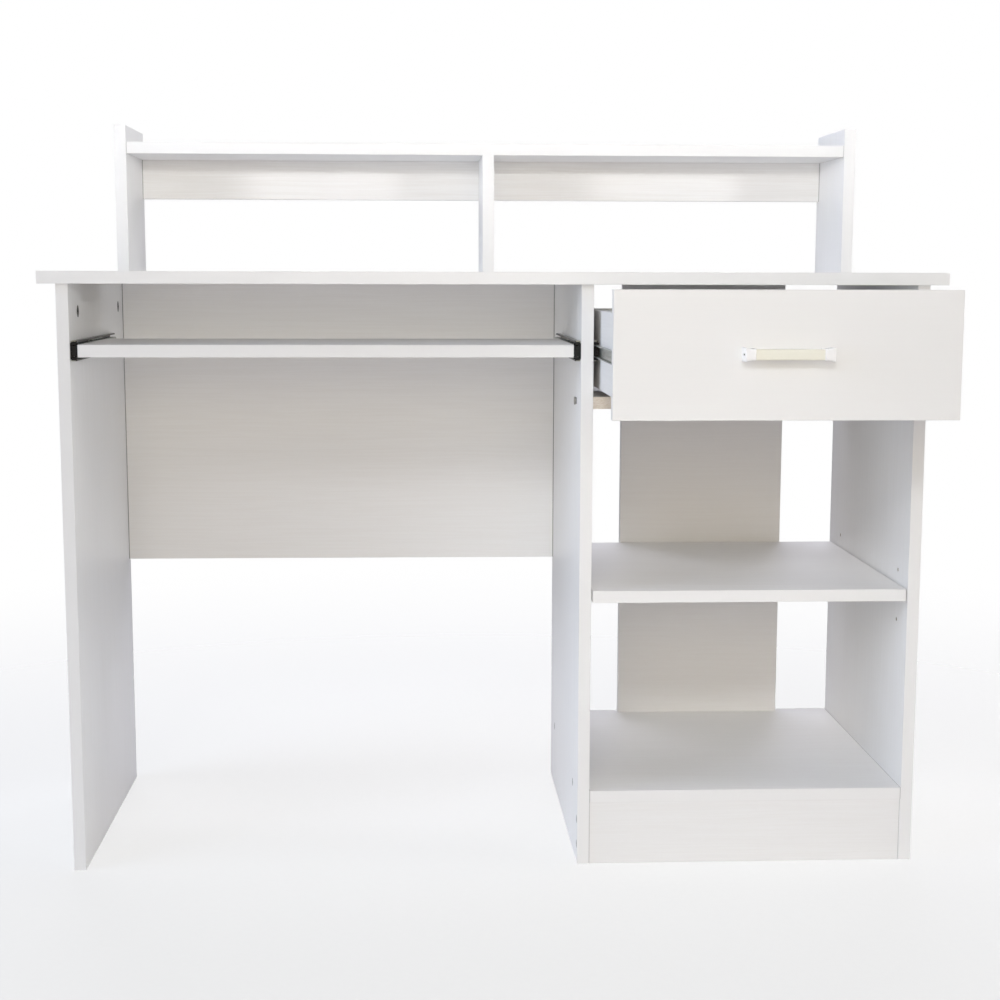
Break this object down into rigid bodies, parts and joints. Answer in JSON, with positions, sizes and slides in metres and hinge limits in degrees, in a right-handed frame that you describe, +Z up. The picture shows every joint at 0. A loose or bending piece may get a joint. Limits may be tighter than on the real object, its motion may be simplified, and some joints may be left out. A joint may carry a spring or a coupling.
{
  "type": "student desk with hutch",
  "caption": "Panel desk with a low hutch, a keyboard tray sliding in the kneehole, and a pedestal of open shelves under a drawer on ball-bearing slides.",
  "frame": {"origin": "on the floor, at the middle of the desk's width and midway between the handle of the drawer as it stands open and the rear edge of the desktop", "axes": "+X to the right as the sitter sees the desk, +Y from the sitter towards the wall, +Z up"},
  "size_m": [1.1, 0.662, 0.935],
  "materials": {
    "white_melamine": "white melamine on chipboard, satin, pressed with a fine wood grain",
    "white_hardboard": "thin hardboard, white foil on top",
    "zinc_steel": "rolled sheet steel, clear zinc plating",
    "ball_steel": "polished bearing steel",
    "screw_steel": "zinc-plated steel",
    "cast_zinc": "raw zinc die casting",
    "black_plastic": "moulded black polypropylene",
    "white_plastic": "moulded white plastic, glossy",
    "ivory_plastic": "ivory plastic strip, satin",
    "beech": "turned beech"
  },
  "bodies": {
    "desk": {"desktop": "white_melamine", "left_panel": "white_melamine", "middle_panel": "white_melamine", "right_panel": "white_melamine", "modesty_panel": "white_melamine", "drawer_support_panel": "white_melamine", "bottom_shelf": "white_melamine", "plinth": "white_melamine", "pedestal_back_board": "white_melamine", "adjustable_shelf": "white_melamine", "shelf_pins": "screw_steel", "hutch_left_side": "white_melamine", "hutch_right_side": "white_melamine", "hutch_shelf": "white_melamine", "hutch_rail": "white_melamine", "hutch_divider": "white_melamine", "cam_locks": "cast_zinc", "cam_bolts": "screw_steel", "dowels": "beech", "connecting_screws": "screw_steel", "hutch_screws": "screw_steel", "rail_screws": "screw_steel", "tray_rail_left": "zinc_steel", "tray_rail_right": "zinc_steel", "tray_guide_left": "black_plastic", "tray_guide_right": "black_plastic", "drawer_rail_left": "zinc_steel", "drawer_rail_right": "zinc_steel", "drawer_guide_left": "black_plastic", "drawer_guide_right": "black_plastic"},
    "tray": {"keyboard_tray": "white_melamine", "tray_runner_left": "zinc_steel", "tray_runner_right": "zinc_steel", "tray_runner_screws": "screw_steel"},
    "tray_cages": {"tray_cage_left": "zinc_steel", "tray_cage_right": "zinc_steel", "tray_balls": "ball_steel"},
    "drawer": {"drawer_front": "white_melamine", "drawer_side_left": "white_melamine", "drawer_side_right": "white_melamine", "drawer_back": "white_melamine", "drawer_bottom": "white_hardboard", "handle_post_left": "white_plastic", "handle_post_right": "white_plastic", "handle_strip": "ivory_plastic", "handle_screws": "screw_steel", "drawer_runner_left": "zinc_steel", "drawer_runner_right": "zinc_steel", "drawer_runner_screws": "screw_steel", "drawer_cam_locks": "cast_zinc", "drawer_cam_bolts": "screw_steel", "drawer_screws": "screw_steel"},
    "drawer_cages": {"drawer_cage_left": "zinc_steel", "drawer_cage_right": "zinc_steel", "drawer_balls": "ball_steel"}
  },
  "joints": [
    {"name": "drawer_slide", "type": "slide", "parent": "desk", "child": "drawer", "axis": [0, -1, 0], "range_m": [-0.2, 0.05]},
    {"name": "drawer_cage_roll", "type": "slide", "parent": "desk", "child": "drawer_cages", "axis": [0, -1, 0], "range_m": [-0.1, 0.025]},
    {"name": "tray_slide", "type": "slide", "parent": "desk", "child": "tray", "axis": [0, -1, 0], "range_m": [0, 0.2]},
    {"name": "tray_cage_roll", "type": "slide", "parent": "desk", "child": "tray_cages", "axis": [0, -1, 0], "range_m": [0, 0.1]}
  ],
  "couplings": [
    {"joint": "drawer_cage_roll", "follows": "drawer_slide", "ratio": 0.5},
    {"joint": "tray_cage_roll", "follows": "tray_slide", "ratio": 0.5}
  ]
}
